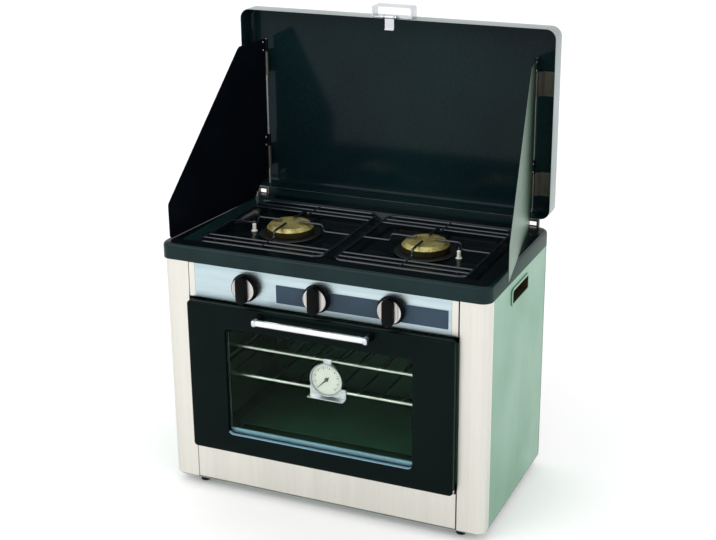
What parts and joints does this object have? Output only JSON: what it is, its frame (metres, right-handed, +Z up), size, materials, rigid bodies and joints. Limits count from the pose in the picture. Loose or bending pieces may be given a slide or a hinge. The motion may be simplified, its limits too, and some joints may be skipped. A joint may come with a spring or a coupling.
{
  "type": "camping stove with oven",
  "caption": "Portable gas camping stove: burner hob with wire pot supports, hinged lid with folding windscreens, and an oven below with a drop-down glass door.",
  "frame": {"origin": "middle of the overall box, at the ground under the feet", "axes": "+X to the right as seen from the front, +Y to the back (the door faces -Y), +Z up"},
  "size_m": [0.5424, 0.3568, 0.7316],
  "materials": {
    "body_steel": "satin, faint green reflection",
    "front_steel": "satin, warm",
    "panel_steel": "satin, cool",
    "label": "printed film",
    "enamel": "gloss enamel",
    "screen": "gloss enamel",
    "aluminised": "aluminised, dull",
    "door_black": "gloss black",
    "glass": "clear, green tinted",
    "chrome": "bright",
    "black_plastic": "semi-matt",
    "grip_plastic": "matt",
    "rubber": "matt",
    "brass": "machined",
    "burner_metal": "cast",
    "ceramic": null,
    "wire_black": "enamelled wire",
    "dial": "printed",
    "needle": "matt black"
  },
  "bodies": {
    "cabinet": {"base_pan": "body_steel", "back_panel": "body_steel", "front_post_left": "front_steel", "front_post_right": "front_steel", "side_panel_left": "body_steel", "side_panel_right": "body_steel", "grip_cup_left": "grip_plastic", "grip_cup_right": "grip_plastic", "foot_front_left": "rubber", "foot_front_right": "rubber", "foot_rear_left": "rubber", "foot_rear_right": "rubber", "kick_panel": "front_steel", "control_panel": "panel_steel", "control_label": "label", "gas_manifold": "brass", "gas_valve_left": "brass", "gas_valve_centre": "brass", "gas_valve_right": "brass", "feed_pipe_left": "aluminised", "feed_pipe_right": "aluminised", "oven_burner": "aluminised", "oven_liner": "aluminised", "oven_baffle": "aluminised", "hob_tray": "enamel", "rear_upstand": "enamel", "burner_bowl_left": "burner_metal", "burner_bowl_right": "burner_metal", "electrode_left": "ceramic", "electrode_right": "ceramic", "lid_hinge_left": "chrome", "lid_hinge_right": "chrome"},
    "door": {"door_panel": "door_black", "door_glass": "glass", "door_liner": "aluminised", "handle_bar": "chrome", "handle_bracket_left": "chrome", "handle_bracket_right": "chrome"},
    "lower_rack": {"rack_lower": "chrome"},
    "upper_rack": {"rack_upper": "chrome"},
    "thermometer": {"thermometer_case": "chrome", "thermometer_dial": "dial"},
    "needle": {"thermometer_needle": "needle"},
    "lid": {"lid_shell": "enamel", "latch_plate": "chrome"},
    "latch": {"latch_tongue": "chrome"},
    "tap_left": {"tap_stem_left": "chrome"},
    "knob_left": {"knob_left": "black_plastic"},
    "tap_centre": {"tap_stem_centre": "chrome"},
    "knob_centre": {"knob_centre": "black_plastic"},
    "tap_right": {"tap_stem_right": "chrome"},
    "knob_right": {"knob_right": "black_plastic"},
    "pot_support_left": {"pot_support_left": "wire_black"},
    "burner_cap_left": {"burner_cap_left": "brass"},
    "rod_left": {"windscreen_rod_left": "chrome"},
    "windscreen_left": {"windscreen_left": "screen"},
    "pot_support_right": {"pot_support_right": "wire_black"},
    "burner_cap_right": {"burner_cap_right": "brass"},
    "rod_right": {"windscreen_rod_right": "chrome"},
    "windscreen_right": {"windscreen_right": "screen"}
  },
  "joints": [
    {"name": "lid_lean", "type": "hinge", "parent": "cabinet", "child": "lid", "pos_m": [-0.00821, 0.1504, 0.415], "axis": [-1, 0, 0], "range_deg": [0, 12]},
    {"name": "latch_swing", "type": "hinge", "parent": "lid", "child": "latch", "pos_m": [-0.00821, 0.1364, 0.7164], "axis": [-1, 0, 0], "range_deg": [0, 100]},
    {"name": "windscreen_left_lift", "type": "slide", "parent": "lid", "child": "rod_left", "axis": [0, 0, 1], "range_m": [0, 0.04]},
    {"name": "windscreen_left_fold", "type": "hinge", "parent": "rod_left", "child": "windscreen_left", "pos_m": [-0.23521, 0.1604, 0.535], "axis": [0, 0, 1], "range_deg": [0, 95.5]},
    {"name": "windscreen_right_lift", "type": "slide", "parent": "lid", "child": "rod_right", "axis": [0, 0, 1], "range_m": [0, 0.04]},
    {"name": "windscreen_right_fold", "type": "hinge", "parent": "rod_right", "child": "windscreen_right", "pos_m": [0.21879, 0.1684, 0.535], "axis": [0, 0, -1], "range_deg": [0, 100.5]},
    {"name": "door_hinge", "type": "hinge", "parent": "cabinet", "child": "door", "pos_m": [-0.00821, -0.1449, 0.0835], "axis": [1, 0, 0], "range_deg": [0, 90]},
    {"name": "lower_rack_slide", "type": "slide", "parent": "cabinet", "child": "lower_rack", "axis": [0, -1, 0], "range_m": [0, 0.12]},
    {"name": "upper_rack_slide", "type": "slide", "parent": "cabinet", "child": "upper_rack", "axis": [0, -1, 0], "range_m": [0, 0.12]},
    {"name": "thermometer_swing", "type": "hinge", "parent": "upper_rack", "child": "thermometer", "pos_m": [-0.00321, -0.1169, 0.246], "axis": [-1, 0, 0], "range_deg": [0, 7]},
    {"name": "needle_turn", "type": "hinge", "parent": "thermometer", "child": "needle", "pos_m": [-0.00321, -0.1257, 0.218], "axis": [0, 1, 0], "range_deg": [0, 270]},
    {"name": "knob_left_push", "type": "slide", "parent": "cabinet", "child": "tap_left", "axis": [0, 1, 0], "range_m": [0, 0.003], "stiffness_N_per_m": 600, "springref_m": -0.002},
    {"name": "knob_left_turn", "type": "hinge", "parent": "tap_left", "child": "knob_left", "pos_m": [-0.12521, -0.1369, 0.354], "axis": [0, -1, 0], "range_deg": [0, 180]},
    {"name": "knob_centre_push", "type": "slide", "parent": "cabinet", "child": "tap_centre", "axis": [0, 1, 0], "range_m": [0, 0.003], "stiffness_N_per_m": 600, "springref_m": -0.002},
    {"name": "knob_centre_turn", "type": "hinge", "parent": "tap_centre", "child": "knob_centre", "pos_m": [-0.00821, -0.1369, 0.354], "axis": [0, -1, 0], "range_deg": [0, 180]},
    {"name": "knob_right_push", "type": "slide", "parent": "cabinet", "child": "tap_right", "axis": [0, 1, 0], "range_m": [0, 0.003], "stiffness_N_per_m": 600, "springref_m": -0.002},
    {"name": "knob_right_turn", "type": "hinge", "parent": "tap_right", "child": "knob_right", "pos_m": [0.10879, -0.1369, 0.354], "axis": [0, -1, 0], "range_deg": [0, 180]},
    {"name": "pot_support_left_lift", "type": "slide", "parent": "cabinet", "child": "pot_support_left", "axis": [0, 0, 1], "range_m": [0, 0.05]},
    {"name": "burner_cap_left_lift", "type": "slide", "parent": "cabinet", "child": "burner_cap_left", "axis": [0, 0, 1], "range_m": [0, 0.025]},
    {"name": "pot_support_right_lift", "type": "slide", "parent": "cabinet", "child": "pot_support_right", "axis": [0, 0, 1], "range_m": [0, 0.05]},
    {"name": "burner_cap_right_lift", "type": "slide", "parent": "cabinet", "child": "burner_cap_right", "axis": [0, 0, 1], "range_m": [0, 0.025]}
  ],
  "couplings": [
    {"joint": "lower_rack_slide", "follows": "door_hinge", "m_per_rad": 0.0763},
    {"joint": "upper_rack_slide", "follows": "door_hinge", "m_per_rad": 0.0763},
    {"joint": "windscreen_left_lift", "follows": "windscreen_left_fold", "m_per_rad": 0.02399},
    {"joint": "burner_cap_left_lift", "follows": "pot_support_left_lift", "ratio": 0.5},
    {"joint": "windscreen_right_lift", "follows": "windscreen_right_fold", "m_per_rad": 0.0228},
    {"joint": "burner_cap_right_lift", "follows": "pot_support_right_lift", "ratio": 0.5}
  ]
}
